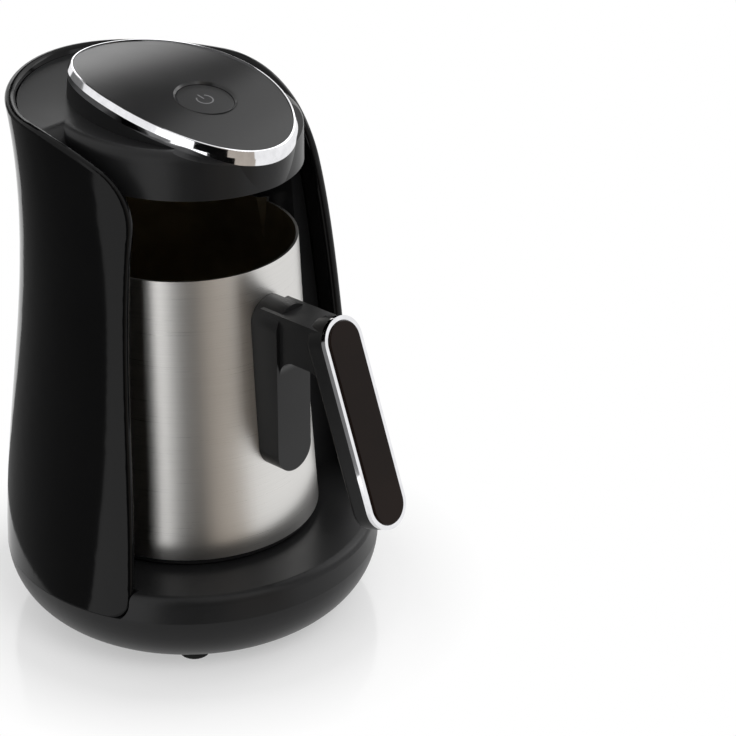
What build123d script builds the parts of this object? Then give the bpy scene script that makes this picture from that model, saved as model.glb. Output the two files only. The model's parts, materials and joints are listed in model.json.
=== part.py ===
from build123d import *
import os
from math import asin, atan2, cos, degrees, hypot, radians, sin, sqrt, tan

os.makedirs("parts", exist_ok=True)

# ---------------------------------------------------------------- driving dimensions (mm)
# Lengths along y are taken from the base axis, with the handle on the -y side.

# clearances
part_gap = 0.15          # between fixed pieces that sit in one another
shell_gap = 0.4          # between large shells
jug_seat_gap = 0.3       # under the jug when it stands on its seat
slide_fit = 0.05         # radial, button and plunger guides

# base
base_r = 75.0
foot_h = 3.6             # underside of the pan above the worktop
foot_r = 6.0
foot_circle_r = 53.5
foot_recess = 0.8
pan_floor_inset = 14.0   # flat floor of the pan, in from the base's radius
pan_bulge_inset = 4.2    # half way up the pan's curved side, the same
pan_bulge_z = 12.8
base_wall = 2.4
seam_z = 26.4
seat_z = 37.0
shoulder_inset = 0.8     # in from the base's radius
shoulder_round = 3.4
rib_ring_wall = 2.2      # ring under the seat that the jacket's foot fits around
base_screw_circle_r = 46.0
base_screw_angles = (65, 115, 245, 295)

# jacket
jacket_wall = 4.0
jacket_waist_z = 165.0
jacket_waist_r = 60.4
jacket_waist_y = 2.5
jacket_lip_z = 219.0     # top of the uncut shell
jacket_lip_r = 53.4
jacket_lip_y = 20.0
wing_foot_y = -33.0      # front edge of the wings at the seam
wing_top_y = -23.9       # front edge of the wings at their top corner
wing_top_z = 191.6
rim_fall_z = 205.4       # rim beside the base axis, where it falls to the wings
rim_low_y = 28.0         # lowest point of the rim behind that
rim_low_z = 210.4
rim_rise_y = 50.0
rim_rise_z = 211.4
rim_back_z = 215.3
wing_top_round = 26.0
wing_foot_round = 9.0
jacket_edge_round = 1.8  # along the rim and the wings' edges

# column liner
bay_half_w = 53.2        # half width of the jug bay at the seat
bay_taper = 2.03         # degrees, the bay narrows upwards
liner_wall = 2.4
liner_setback = 14.0     # liner front edge behind the wings' front edge

# head
head_floor_z = 189.5
drum_half_w = 44.8
drum_half_d = 51.5
drum_y = 2.2
drum_round = 4.5
shelf_z = 207.6          # top of the drum
head_wall = 2.4
head_back_y = 49.4
head_back_z = 220.1
head_front_y = -51.9
head_front_z = 205.2
head_arch_rise = 5.6
head_half_w = 33.5
head_widest = 3.7        # widest point forward of the head's middle
deck_front_y = 14.0      # dished deck that closes the jacket's mouth behind the drum
deck_mid_y = 44.0
deck_mid_rise = 1.0
deck_back_rise = 5.0
deck_front_round = 9.0
ring_h = 5.0
ring_w = 1.8
ring_bevel_w = 1.2       # bevel of the ring's outer face
ring_bevel_h = 2.4
ring_edge_round = 0.3
ring_flange_w = 1.8      # ledge under the plate
plate_t = 2.4
plate_drop = 0.4         # plate edge below the ring's top
underside_t = 3.0

# power button
button_y = -14.4
button_r = 11.0
bezel_w = 1.05
bezel_bevel = 0.85       # inner edge of the bezel
button_sink = 0.9        # top of the button below the plate
button_edge_round = 0.4
button_skirt = 2.4
button_flange_r = 11.8
button_flange_h = 0.8
stem_r = 2.4
stem_l = 3.2
plunger_r = 1.3
plunger_l = 1.9
button_travel = 0.8
switch_w = 7.0
switch_h = 2.2
spring_wire_r = 0.3
spring_r = 3.2
spring_turns = 3.5
board_t = 1.6
board_w = 38.0           # control board
board_d = 26.0
power_board_w = 50.0
power_board_d = 26.0
board_screw_r = 1.0
board_screw_head_r = 1.9
board_screw_head_h = 1.2
board_screw_l = 4.4

# jug
jug_h = 116.0            # steel wall
jug_foot_r = 50.9
jug_mid_r = 47.1
jug_rim_r = 44.3
jug_wall = 1.0
jug_ring_h = 3.0         # black base ring below the steel
jug_ring_r = 49.6
spout_h = 20.0
spout_reach = 3.3        # tip beyond the rim
spout_half_w = 8.0
floor_h = 18.0           # inside floor above the steel's lower edge
floor_t = 1.0
diffuser_r = 36.0
diffuser_t = 2.5
element_r = 27.0
element_tube_r = 3.2
jug_screw_circle_r = 41.5
cover_t = 2.0            # plate under the jug, with a ring below and a spigot above
cover_ring_w = 4.0
cover_chamfer = 0.8
spigot_h = 5.0
spigot_t = 2.0
jug_coupler_r = 30.5
jug_coupler_lip = 2.6
jug_coupler_roof_t = 4.4

# coupler
boss_top_r = 8.0
boss_foot_r = 27.0
boss_slope = 14.5        # degrees, shallower than the jug's way out
boss_gap = 0.6
coupler_depth = 16.0
coupler_body_r = 20.0
coupler_flange_r = 36.0
coupler_flange_t = 1.8
coupler_screw_circle_r = 32.8
seal_t = 1.4
contact_r = 0.8
ring_half_w = 1.1        # contact rings in the jug
contact_ring_rs = (0.0, 3.6, 6.6)

# handle
handle_w = 19.5
face_lean = 19.6         # degrees from upright
face_mid_out = 94.4      # middle of the outer face, from the jug's axis
face_mid_h = 67.0        # the same, above the steel's lower edge
face_len = 84.0
grip_t = 10.5
trim_w = 1.8
trim_t = 2.0
insert_t = 3.0
insert_proud = 0.8
pad_w = 18.0
pad_low_h = 33.5
pad_top_h = 104.0
pad_out = 57.6
bridge_low_h = 84.0
bridge_top_h = 102.0
bridge_w = 15.0
bridge_round = 7.0
bracket_w = 11.0
bracket_t = 1.6
bracket_tab_rise = 8.5   # tab above the bridge's underside
tab_in_grip = 1.8        # end of the tab beyond the grip's inner face
bracket_below = 14.5     # welded plate below and above the tab
bracket_above = 6.5

# cord gland
gland_z = 15.0
gland_r = 6.0
gland_bore_r = 3.4
gland_flange_r = 8.0
gland_flange_t = 1.5
gland_len = 12.5
collar_r = 9.0           # flat collar of the pan around the gland

# harness
harness_r = 2.1
harness_gap = 1.8        # to the liner at the foot and to the jacket at the waist

# screws
screw_r = 1.5
screw_head_r = 2.8
screw_head_h = 1.7
screw_slot_w = 0.7
boss_wall = 2.4
base_screw_l = 14.0
jacket_screw_l = 13.0
mount_screw_l = 10.0
coupler_screw_l = 4.4
jug_screw_l = 9.0

# ---------------------------------------------------------------- derived places
pan_floor_r = base_r - pan_floor_inset
pan_bulge_r = base_r - pan_bulge_inset
shoulder_r = base_r - shoulder_inset
bracket_tab_h = bridge_low_h + bracket_tab_rise
bracket_low_h = bracket_tab_h - bracket_below
bracket_top_h = bracket_tab_h + bracket_above
jug_low_z = seat_z + jug_seat_gap
jug_steel_z = jug_low_z + jug_ring_h
jug_rim_z = jug_steel_z + jug_h
lean = radians(face_lean)
handle_reach = face_mid_out + face_len / 2 * sin(lean)
axis_y = (handle_reach - base_r) / 2      # base axis, so that y = 0 is mid-depth

chord = hypot(head_back_y - head_front_y, head_back_z - head_front_z)
head_pitch = atan2(head_back_z - head_front_z, head_back_y - head_front_y)
arch_r = ((chord / 2) ** 2 + head_arch_rise ** 2) / (2 * head_arch_rise)
head_mid_y = (head_back_y + head_front_y) / 2
head_mid_z = (head_back_z + head_front_z) / 2
arch_mid_y = head_mid_y + (arch_r - head_arch_rise) * sin(head_pitch)
arch_mid_z = head_mid_z - (arch_r - head_arch_rise) * cos(head_pitch)

base_axis = Axis((0, axis_y, 0), (0, 0, 1))
side = Plane(origin=(0, axis_y, 0), x_dir=(0, 1, 0), z_dir=(1, 0, 0))
head_plane = Plane(origin=(0, axis_y + head_mid_y, head_mid_z), x_dir=(1, 0, 0),
                   z_dir=(0, -sin(head_pitch), cos(head_pitch)))
wide = base_r + 15       # half width that passes every piece
arch_span = 58.0         # from the base axis to just in front of the head
screw_hole_r = screw_r + part_gap


def level(z, x=0.0, y=0.0):
    """Horizontal plane at height z, its origin at (x, y) from the base axis."""
    return Plane((x, axis_y + y, z))


def arch_tilt(y):
    """Forward tilt of the head's arch at y, in radians."""
    return asin((arch_mid_y - y) / arch_r)


button_tilt = arch_tilt(button_y)
button_plane = Plane(
    origin=(0, axis_y + button_y, arch_mid_z + arch_r * cos(button_tilt) - plate_drop),
    x_dir=(1, 0, 0), z_dir=(0, -sin(button_tilt), cos(button_tilt)))


def button_level(z):
    """Plane square to the button's travel, z along its outward direction."""
    return button_plane.offset(z)


def jacket_section(z, inset):
    """Radius and y of the jacket's round section at height z."""
    part = (z - seam_z) / (jacket_waist_z - seam_z)
    return base_r + (jacket_waist_r - base_r) * part - inset, jacket_waist_y * part


def jacket_core(inset, low_z):
    """Solid inside the jacket's outer surface, drawn in by inset."""
    mid_z = (low_z + jacket_waist_z) / 2
    with BuildPart() as core:
        for z in (low_z, mid_z, jacket_waist_z):
            r, y = jacket_section(z, inset)
            with BuildSketch(level(z, 0, y)):
                Circle(r)
        with BuildSketch(level(jacket_lip_z, 0, jacket_lip_y)):
            Circle(jacket_lip_r - inset)
        loft()
    return core.part


def jacket_profile(grow=0.0):
    """Side profile of the jacket: leaning front edges and an arched rim."""
    with BuildSketch(side) as profile:
        with BuildLine():
            low = (wing_foot_y - grow, seam_z + part_gap - jacket_edge_round - grow)
            corner = (wing_top_y - grow, wing_top_z + grow)
            back = (base_r + 2, rim_back_z + grow)
            Line((base_r + 2, low[1]), low)
            Line(low, corner)
            low_rim = (rim_low_y, rim_low_z + grow)
            ThreePointArc(corner, (0, rim_fall_z + grow), low_rim)
            ThreePointArc(low_rim, (rim_rise_y, rim_rise_z + grow), back)
            Line(back, (base_r + 2, low[1]))
        make_face()
        fillet(profile.vertices().filter_by(lambda v: v.X < 0).sort_by(Axis.Y)[-1], wing_top_round)
        fillet(profile.vertices().filter_by(lambda v: v.X < 0).sort_by(Axis.Y)[0], wing_foot_round)
    return profile.sketch


def egg(grow=0.0):
    """Head outline on the head plane, wider towards the front."""
    widest = -head_widest
    front = chord / 2 - head_widest + grow
    back = chord / 2 + head_widest + grow
    half = head_half_w + grow
    with BuildSketch(head_plane) as outline:
        with BuildLine():
            EllipticalCenterArc((0, widest), half, front, 180, arc_size=180)
            EllipticalCenterArc((0, widest), half, back, 0, arc_size=180)
        make_face()
    return outline.sketch


def under_arch(drop, low_z):
    """Solid below the head's arch lowered by drop, down to low_z."""
    with BuildPart() as block:
        with BuildSketch(side):
            with BuildLine():
                r = arch_r - drop
                ends = []
                for y in (-arch_span, wide):
                    a = asin((y - arch_mid_y) / r)
                    ends.append((y, arch_mid_z + r * cos(a)))
                ThreePointArc(ends[0], (arch_mid_y, arch_mid_z + r), ends[1])
                Polyline(ends[1], (wide, low_z), (-arch_span, low_z), ends[0])
            make_face()
        extrude(amount=wide, both=True)
    return block.part


def polar_spots(radius, angles, y=0.0):
    """Points on a circle; angle 0 is the back, positive towards +x."""
    return [(radius * sin(radians(a)), y + radius * cos(radians(a))) for a in angles]


def screws_up(spots, head_z, length):
    """Screws driven upwards from head_z, each with a slotted head."""
    with BuildPart() as group:
        for x, y in spots:
            with BuildSketch(level(head_z, x, y)):
                Circle(screw_head_r)
            extrude(amount=screw_head_h)
            with BuildSketch(level(head_z + screw_head_h, x, y)):
                Circle(screw_r)
            extrude(amount=length)
            with BuildSketch(level(head_z, x, y)):
                Rectangle(2 * screw_head_r * 0.7, screw_slot_w)
                Rectangle(screw_slot_w, 2 * screw_head_r * 0.7)
            extrude(amount=screw_head_h / 2, mode=Mode.SUBTRACT)
    return group


def write(piece, label):
    """Label a finished piece and write it to its own file."""
    piece.part.label = label
    export_step(piece.part, f"parts/{label}.step")


# ---------------------------------------------------------------- base
foot_spots = polar_spots(foot_circle_r, (45, 135, 225, 315))
base_screw_spots = polar_spots(base_screw_circle_r, base_screw_angles)
pan_in_z = foot_h + base_wall
top_in_z = seat_z - base_wall
rib_ring_r, _ = jacket_section(seat_z, jacket_wall + shell_gap + 0.2)
collar_y = base_r - gland_flange_t
gland_plane = Plane((0, axis_y + collar_y, gland_z), x_dir=(1, 0, 0), z_dir=(0, 1, 0))
board_y = 42.0
power_board_z = pan_in_z + 6.0
board_post_spots = [(x, board_y + y) for x in (3.5 - power_board_w / 2, power_board_w / 2 - 3.5)
                    for y in (3 - power_board_d / 2, power_board_d / 2 - 3)]
board_hole_r = board_screw_r + part_gap / 2

with BuildPart() as base_pan:
    with BuildSketch(side):
        with BuildLine():
            Line((0, foot_h), (pan_floor_r, foot_h))
            ThreePointArc((pan_floor_r, foot_h), (pan_bulge_r, pan_bulge_z), (base_r, seam_z))
            Line((base_r, seam_z), (base_r - base_wall, seam_z))
            ThreePointArc((base_r - base_wall, seam_z),
                          (pan_bulge_r - base_wall * 0.8, pan_bulge_z + base_wall * 0.6),
                          (pan_floor_r - base_wall / 2, pan_in_z))
            Polyline((pan_floor_r - base_wall / 2, pan_in_z), (0, pan_in_z), (0, foot_h))
        make_face()
    revolve(axis=base_axis)
    # foot recesses and screw holes
    for spot in foot_spots:
        with BuildSketch(level(foot_h, *spot)):
            Circle(foot_r + part_gap)
        extrude(amount=foot_recess, mode=Mode.SUBTRACT)
    for spot in base_screw_spots:
        with BuildSketch(level(foot_h, *spot)):
            Circle(screw_hole_r)
        extrude(amount=base_wall, mode=Mode.SUBTRACT)
    # collar for the cord gland at the back
    with BuildSketch(gland_plane):
        Circle(collar_r)
    extrude(amount=-gland_len + 1)
    with BuildSketch(gland_plane):
        Circle(collar_r)
    extrude(amount=gland_len, mode=Mode.SUBTRACT)
    with BuildSketch(gland_plane):
        Circle(gland_r + part_gap)
    extrude(amount=-gland_len * 2, mode=Mode.SUBTRACT)
    # posts for the power board
    for spot in board_post_spots:
        with BuildSketch(level(pan_in_z - 0.2, *spot)):
            Circle(2.6)
        extrude(amount=power_board_z - pan_in_z + 0.2)
        with BuildSketch(level(power_board_z, *spot)):
            Circle(board_hole_r)
        extrude(amount=-5, mode=Mode.SUBTRACT)

with BuildPart() as base_feet:
    for spot in foot_spots:
        with BuildSketch(level(0, *spot)):
            Circle(foot_r)
        extrude(amount=foot_h + foot_recess)
    fillet(base_feet.edges().group_by(Axis.Z)[0], 0.8)

# room for the jacket's foot
jacket_side = jacket_profile()
room_side = jacket_profile(shell_gap)
room_core = jacket_core(jacket_wall + shell_gap, seam_z - jacket_edge_round - 1)
with BuildPart() as jacket_room:
    extrude(room_side, amount=wide, both=True)
    add(room_core, mode=Mode.SUBTRACT)

jacket_screw_circle_r = rib_ring_r - rib_ring_wall - screw_head_r - 2 * shell_gap
jacket_screw_angles = (40, -40, 80, -80)
jacket_screw_spots = polar_spots(jacket_screw_circle_r, jacket_screw_angles)
liner_boss_angles = (20, -20)
liner_boss_circle_r = bay_half_w + screw_hole_r + boss_wall
liner_screw_spots = polar_spots(liner_boss_circle_r, liner_boss_angles)
coupler_screw_spots = polar_spots(coupler_screw_circle_r, (60, 180, 300))
boss_h = 16.0
harness_y = bay_half_w + liner_wall + harness_r + harness_gap
harness_hole_r = harness_r + shell_gap
harness_top_y = jacket_waist_y + jacket_waist_r - jacket_wall - harness_r - harness_gap

with BuildPart() as base_top:
    with BuildSketch(side) as top_profile:
        with BuildLine():
            Polyline((boss_foot_r + part_gap, seat_z), (shoulder_r, seat_z), (base_r, seam_z),
                     (base_r - base_wall, seam_z), (base_r - base_wall, top_in_z - 2),
                     (rib_ring_r, top_in_z), (rib_ring_r, seam_z - base_wall),
                     (rib_ring_r - rib_ring_wall, seam_z - base_wall),
                     (rib_ring_r - rib_ring_wall, top_in_z),
                     (boss_foot_r + part_gap, top_in_z), (boss_foot_r + part_gap, seat_z))
        make_face()
        fillet(top_profile.vertices().group_by(Axis.Y)[-1].sort_by(Axis.X)[-1], shoulder_round)
    revolve(axis=base_axis)
    # screw bosses down to the pan
    for spot in base_screw_spots:
        with BuildSketch(level(pan_in_z + part_gap, *spot)):
            Circle(screw_hole_r + boss_wall)
        extrude(amount=top_in_z - pan_in_z - part_gap)
        with BuildSketch(level(pan_in_z + part_gap, *spot)):
            Circle(screw_hole_r)
        extrude(amount=top_in_z - pan_in_z - base_wall, mode=Mode.SUBTRACT)
    # foot of the jacket, screws and harness
    add(jacket_room.part, mode=Mode.SUBTRACT)
    for spot in jacket_screw_spots + liner_screw_spots:
        with BuildSketch(level(top_in_z, *spot)):
            Circle(screw_hole_r)
        extrude(amount=base_wall, mode=Mode.SUBTRACT)
    for spot in coupler_screw_spots:
        with BuildSketch(level(top_in_z, *spot)):
            Circle(screw_hole_r)
        extrude(amount=base_wall - 0.8, mode=Mode.SUBTRACT)
    with BuildSketch(level(top_in_z, 0, harness_y)):
        Circle(harness_hole_r)
    extrude(amount=base_wall, mode=Mode.SUBTRACT)

# screws that hold the pan to the top
base_screws = screws_up(base_screw_spots, foot_h - screw_head_h, base_screw_l)
# screws that hold the jacket and the liner, driven from inside the base
jacket_screws = screws_up(jacket_screw_spots, top_in_z - screw_head_h, jacket_screw_l)
column_screws = screws_up(liner_screw_spots, top_in_z - screw_head_h, jacket_screw_l)


# ---------------------------------------------------------------- jacket
def radial_plane(radius, angle, z):
    """Horizontal plane at a point of a circle, its x axis pointing outwards."""
    x, y = radius * sin(radians(angle)), radius * cos(radians(angle))
    return Plane(origin=(x, axis_y + y, z), x_dir=(sin(radians(angle)), cos(radians(angle)), 0),
                 z_dir=(0, 0, 1))


jacket_outside = jacket_core(0, seam_z - jacket_edge_round)
jacket_inside = jacket_core(jacket_wall, seam_z - jacket_edge_round)
boss_rib_w = 3.2
with BuildPart() as jacket:
    add(jacket_outside)
    add(jacket_inside, mode=Mode.SUBTRACT)
    extrude(jacket_side, amount=wide, both=True, mode=Mode.INTERSECT)
    # soft rim and wing edges; the rounded foot is then cut off square on the seam
    skins = jacket.faces().filter_by(GeomType.BSPLINE)
    borders = [edge for skin in skins for edge in skin.outer_wire().edges()]
    fillet([edge for edge in borders if edge.bounding_box().max.Z > seam_z + 1], jacket_edge_round)
    split(bisect_by=level(seam_z + part_gap), keep=Keep.TOP)
    # screw bosses, each with a rib to the wall
    for angle in jacket_screw_angles:
        foot = radial_plane(jacket_screw_circle_r, angle, seat_z + part_gap)
        with BuildSketch(foot):
            Circle(screw_hole_r + boss_wall)
            Rectangle(base_r - jacket_screw_circle_r - jacket_wall, boss_rib_w,
                      align=(Align.MIN, Align.CENTER))
        extrude(amount=boss_h)
        with BuildSketch(foot):
            Circle(screw_hole_r)
        extrude(amount=boss_h - base_wall, mode=Mode.SUBTRACT)

# ---------------------------------------------------------------- column liner


def bay(grow):
    """U-shaped space around the jug, narrowing upwards, its walls moved out by grow."""
    half = bay_half_w + grow
    with BuildPart() as space:
        with BuildSketch(level(seat_z)):
            Circle(half)
            Rectangle(2 * half, wide, align=(Align.CENTER, Align.MAX))
        extrude(amount=jacket_lip_z - seat_z, taper=bay_taper)
    return space.part


def behind_wings(setback, low_z, high_z):
    """Solid behind the wings' front edges, moved back by setback."""
    slope = (wing_top_y - wing_foot_y) / (wing_top_z - seam_z)
    low_y = wing_foot_y + slope * (low_z - seam_z) + setback
    high_y = wing_foot_y + slope * (high_z - seam_z) + setback
    with BuildPart() as block:
        with BuildSketch(side):
            with BuildLine():
                Polyline((low_y, low_z), (wide, low_z), (wide, high_z), (high_y, high_z),
                         close=True)
            make_face()
        extrude(amount=wide, both=True)
    return block.part


liner_top_z = head_floor_z - part_gap
liner_core = jacket_core(jacket_wall + shell_gap, seat_z - 1)
liner_front = behind_wings(liner_setback, seat_z, liner_top_z)
liner_bay = bay(0)
liner_hollow_core = jacket_core(0, seat_z - 1)
liner_hollow_front = behind_wings(liner_setback + liner_wall, seat_z - 1,
                                  liner_top_z - liner_wall)
mount_screw_spots = [(x, 44.0) for x in (-33.5, 33.5)]
liner_hollow_bay = bay(liner_wall)

with BuildPart() as liner_hollow:
    add(liner_hollow_core)
    add(liner_hollow_front, mode=Mode.INTERSECT)
    add(liner_hollow_bay, mode=Mode.SUBTRACT)

with BuildPart() as column_liner:
    add(liner_core)
    add(liner_front, mode=Mode.INTERSECT)
    add(liner_bay, mode=Mode.SUBTRACT)
    add(liner_hollow.part, mode=Mode.SUBTRACT)
    for angle in liner_boss_angles:
        foot = radial_plane(liner_boss_circle_r, angle, seat_z)
        with BuildSketch(foot):
            Circle(screw_hole_r + boss_wall)
        extrude(amount=boss_h)
        with BuildSketch(foot):
            Circle(screw_hole_r)
        extrude(amount=boss_h - base_wall, mode=Mode.SUBTRACT)
    # holes in the top for the head's screws and the harness
    for spot in mount_screw_spots:
        with BuildSketch(level(liner_top_z, *spot)):
            Circle(screw_hole_r)
        extrude(amount=-liner_wall, mode=Mode.SUBTRACT)
    with BuildSketch(level(liner_top_z, 0, harness_top_y)):
        Circle(harness_hole_r)
    extrude(amount=-liner_wall, mode=Mode.SUBTRACT)

mount_screws = screws_up(mount_screw_spots, liner_top_z - liner_wall - screw_head_h, mount_screw_l)

# ---------------------------------------------------------------- head
underside_inset = head_wall + part_gap
head_screw_inset = head_wall + screw_hole_r + boss_wall - 0.4
head_screw_spots = [((drum_half_w - head_screw_inset) * sin(radians(a)),
                     drum_y + (drum_half_d - head_screw_inset) * cos(radians(a)))
                    for a in (86, -86, 150, -150)]
window_r = 6.0


def drum_outline(z, inset):
    """Oval outline of the drum at height z, drawn in by inset."""
    with BuildSketch(Plane((0, axis_y + drum_y, z), x_dir=(0, 1, 0), z_dir=(0, 0, 1))) as oval:
        Ellipse(drum_half_d - inset, drum_half_w - inset)
    return oval.sketch


def drum(inset):
    """Oval lower part of the head with a level top, cut off below the chrome ring."""
    outline = drum_outline(head_floor_z, inset)
    roof = under_arch(ring_h + inset, head_floor_z)
    with BuildPart() as block:
        extrude(outline, amount=shelf_z - inset - head_floor_z)
        fillet(block.edges().group_by(Axis.Z)[-1], drum_round)
        add(roof, mode=Mode.INTERSECT)
    return block.part


def deck(inset):
    """Dished deck that fills the jacket's mouth behind the drum."""
    core = jacket_core(jacket_wall + shell_gap + inset, seam_z)
    front = deck_front_y + inset
    with BuildPart() as block:
        with BuildSketch(side):
            with BuildLine():
                top = shelf_z - inset
                ThreePointArc((front, top), (deck_mid_y, top + deck_mid_rise),
                              (base_r, top + deck_back_rise))
                Polyline((base_r, top + deck_back_rise), (base_r, head_floor_z),
                         (front, head_floor_z), (front, top))
            make_face()
        extrude(amount=wide, both=True)
        fillet(block.edges().filter_by(Axis.X).filter_by(
            lambda e: abs(e.center().Z - top) < 0.01), deck_front_round - inset)
        add(core, mode=Mode.INTERSECT)
    return block.part


def pod(grow, drop, low_z=head_floor_z):
    """Upper part of the head inside the egg outline, its top parallel to the arch."""
    outline = egg(grow)
    roof = under_arch(drop, low_z)
    with BuildPart() as block:
        extrude(outline, amount=head_back_z - head_floor_z, both=True)
        add(roof, mode=Mode.INTERSECT)
    return block.part


def arch_slab(drop, low_drop):
    """Layer between two depths below the head's arch."""
    upper = under_arch(drop, head_floor_z)
    lower = under_arch(low_drop, head_floor_z - 1)
    with BuildPart() as block:
        add(upper)
        add(lower, mode=Mode.SUBTRACT)
    return block.part


drum_outside = drum(0)
drum_inside = drum(head_wall)
deck_outside = deck(0)
deck_inside = deck(head_wall)
underside_outline = drum_outline(head_floor_z, underside_inset)
pod_below_ring = pod(0, ring_h)
pod_inside = pod(-head_wall, 0, head_floor_z + underside_t + part_gap)

with BuildPart() as head_housing:
    add(drum_outside)
    add(deck_outside)
    add(pod_below_ring)
    add(drum_inside, mode=Mode.SUBTRACT)
    add(deck_inside, mode=Mode.SUBTRACT)
    add(pod_inside, mode=Mode.SUBTRACT)
    for spot in head_screw_spots:
        with BuildSketch(level(head_floor_z + underside_t + part_gap, *spot)):
            Circle(screw_hole_r + boss_wall)
        extrude(amount=boss_h / 2)
        with BuildSketch(level(head_floor_z + underside_t + part_gap, *spot)):
            Circle(screw_hole_r)
        extrude(amount=boss_h / 2 - 1, mode=Mode.SUBTRACT)
    for spot in mount_screw_spots:
        with BuildSketch(level(head_floor_z, *spot)):
            Circle(screw_hole_r + boss_wall)
        extrude(amount=boss_h * 0.7)
        with BuildSketch(level(head_floor_z, *spot)):
            Circle(screw_hole_r)
        extrude(amount=boss_h * 0.6, mode=Mode.SUBTRACT)

with BuildPart() as head_underside:
    extrude(underside_outline, amount=underside_t)
    with BuildSketch(level(head_floor_z)):
        Circle(window_r + part_gap)
    extrude(amount=underside_t, mode=Mode.SUBTRACT)
    for spot in head_screw_spots:
        with BuildSketch(level(head_floor_z, *spot)):
            Circle(screw_hole_r)
        extrude(amount=underside_t, mode=Mode.SUBTRACT)
        with BuildSketch(level(head_floor_z, *spot)):
            Circle(screw_head_r + part_gap)
        extrude(amount=screw_head_h, mode=Mode.SUBTRACT)

head_screws = screws_up(head_screw_spots, head_floor_z, boss_h / 2)

plate_under = plate_drop + plate_t
pod_h = head_back_z - head_floor_z
egg_outer = egg()
egg_bore = egg(-ring_w)
egg_ledge = egg(-ring_w - ring_flange_w)
egg_plate = egg(-ring_w - part_gap / 2)
ring_slab = arch_slab(0, ring_h)
ledge_slab = arch_slab(plate_under, ring_h)
plate_slab = arch_slab(plate_drop, plate_under)

with BuildPart() as ring_ledge:
    extrude(egg_bore, amount=pod_h, both=True)
    extrude(egg_ledge, amount=pod_h, both=True, mode=Mode.SUBTRACT)
    add(ledge_slab, mode=Mode.INTERSECT)

with BuildPart() as chrome_ring:
    extrude(egg_outer, amount=pod_h, both=True)
    extrude(egg_bore, amount=pod_h, both=True, mode=Mode.SUBTRACT)
    add(ring_slab, mode=Mode.INTERSECT)
    add(ring_ledge.part)
    # bevel along the outer top edge, softened where it meets the top
    ring_top = chrome_ring.faces().filter_by(GeomType.CYLINDER).sort_by(Axis.Z)[-1]
    chamfer(ring_top.outer_wire().edges(), ring_bevel_w, ring_bevel_h, reference=ring_top)
    ring_top = chrome_ring.faces().filter_by(GeomType.CYLINDER).sort_by(Axis.Z)[-1]
    fillet(ring_top.outer_wire().edges(), ring_edge_round)

bezel_in_r = button_r + slide_fit
bezel_out_r = bezel_in_r + bezel_w
cap_low = -(plate_t + 0.2)
stem_low = cap_low - button_flange_h - stem_l
switch_top = stem_low - button_travel - 0.1
board_top = switch_top - switch_h
board_spots = [(x, y) for x in (4 - board_w / 2, board_w / 2 - 4)
               for y in (3.5 - board_d / 2, board_d / 2 - 3.5)]
board_boss_r = 2.3

with BuildPart() as head_plate:
    extrude(egg_plate, amount=pod_h, both=True)
    add(plate_slab, mode=Mode.INTERSECT)
    for spot in board_spots:
        with BuildSketch(button_level(board_top)):
            with Locations(spot):
                Circle(board_boss_r)
        extrude(amount=-board_top - plate_t / 2)
        with BuildSketch(button_level(board_top)):
            with Locations(spot):
                Circle(board_hole_r)
        extrude(amount=-board_top - plate_t - 1, mode=Mode.SUBTRACT)
    with BuildSketch(button_level(0)):
        Circle(bezel_out_r + part_gap / 2)
    extrude(amount=2 * plate_t, both=True, mode=Mode.SUBTRACT)

with BuildPart() as button_bezel:
    with BuildSketch(button_level(-plate_t)):
        Circle(bezel_out_r)
        Circle(bezel_in_r, mode=Mode.SUBTRACT)
    extrude(amount=plate_t)
    chamfer(button_bezel.edges().filter_by(GeomType.CIRCLE).group_by(Axis.Z)[-1]
            .sort_by(SortBy.RADIUS)[0], bezel_bevel)

with BuildPart() as power_button:
    with BuildSketch(button_level(cap_low)):
        Circle(button_r)
    extrude(amount=-button_sink - cap_low)
    fillet(power_button.edges().sort_by(Axis.Z)[-1], button_edge_round)
    with BuildSketch(button_level(cap_low)):
        Circle(button_flange_r)
    extrude(amount=-button_flange_h)
    with BuildSketch(button_level(stem_low)):
        Circle(stem_r)
    extrude(amount=stem_l)

with BuildPart() as switch_plunger:
    with BuildSketch(button_level(stem_low)):
        Circle(plunger_r)
    extrude(amount=-plunger_l)

with BuildPart() as switch_body:
    with BuildSketch(button_level(switch_top)):
        Rectangle(switch_w, switch_w)
    extrude(amount=-switch_h)
    with BuildSketch(button_level(switch_top)):
        Circle(plunger_r + slide_fit)
    extrude(amount=-(switch_h - 0.2), mode=Mode.SUBTRACT)

spring_low = switch_top + slide_fit + spring_wire_r
spring_high = cap_low - button_flange_h - slide_fit - spring_wire_r
with BuildPart() as button_spring:
    coil = Helix(pitch=(spring_high - spring_low) / spring_turns, height=spring_high - spring_low,
                 radius=spring_r, mode=Mode.PRIVATE)
    coil = button_level(spring_low).location * coil
    with BuildSketch(Plane(origin=coil @ 0, z_dir=coil % 0)):
        Circle(spring_wire_r)
    sweep(path=coil, is_frenet=True)

with BuildPart() as control_board:
    with BuildSketch(button_level(board_top)):
        Rectangle(board_w, board_d)
        with Locations(*board_spots):
            Circle(board_hole_r, mode=Mode.SUBTRACT)
    extrude(amount=-board_t)

with BuildPart() as board_screws:
    for spot in board_spots:
        with BuildSketch(button_level(board_top - board_t)):
            with Locations(spot):
                Circle(board_screw_r)
        extrude(amount=board_t + board_screw_l)
        with BuildSketch(button_level(board_top - board_t)):
            with Locations(spot):
                Circle(board_screw_head_r)
        extrude(amount=-board_screw_head_h)

with BuildPart() as buzzer:
    with BuildSketch(button_level(board_top - board_t)):
        with Locations((10.0, 3.0)):
            Circle(4.6)
    extrude(amount=-4.5)
    with BuildSketch(button_level(board_top - board_t - 4.5)):
        with Locations((10.0, 3.0)):
            Circle(1.0)
    extrude(amount=1.5, mode=Mode.SUBTRACT)

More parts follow.
